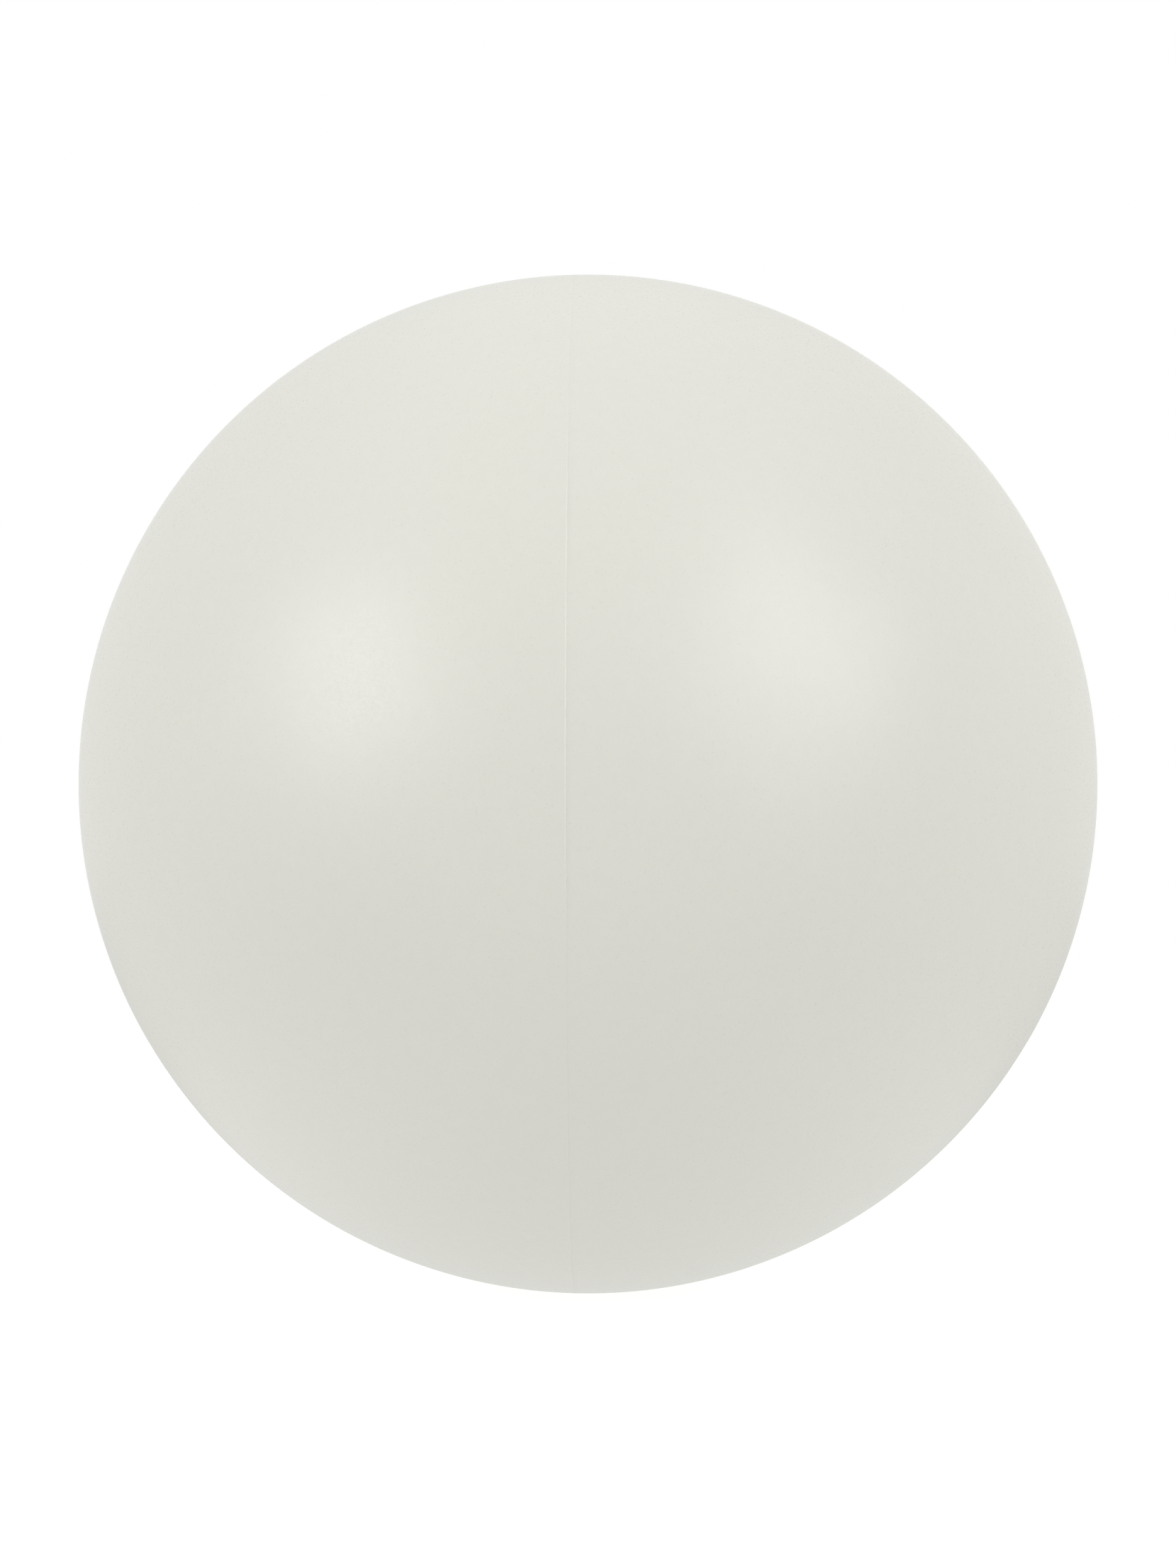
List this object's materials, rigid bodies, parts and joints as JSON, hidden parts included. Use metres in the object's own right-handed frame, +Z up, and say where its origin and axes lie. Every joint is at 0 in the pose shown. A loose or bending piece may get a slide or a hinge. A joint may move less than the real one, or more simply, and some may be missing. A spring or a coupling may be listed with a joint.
{
  "type": "cue ball",
  "caption": "Off-white billiard ball with a satin moulded skin split by a fine seam, over a plastic body and a steel core; it is struck with the cue and rolls on the table.",
  "frame": {"origin": "centre of the ball", "axes": "+X square to the plane of the seam, from the left half towards the right half; +Z up, with the ball resting on its lowest point at -Z; the picture looks along +Y"},
  "size_m": [0.0572, 0.0572, 0.0572],
  "materials": {
    "satin_white": "satin",
    "inner_plastic": "matte",
    "cured_adhesive": "satin",
    "bearing_steel": "polished"
  },
  "bodies": {
    "root": {"outer_shell_left": "satin_white", "outer_shell_right": "satin_white", "joint_adhesive": "cured_adhesive", "inner_half_left": "inner_plastic", "inner_half_right": "inner_plastic", "steel_core": "bearing_steel"}
  },
  "joints": []
}
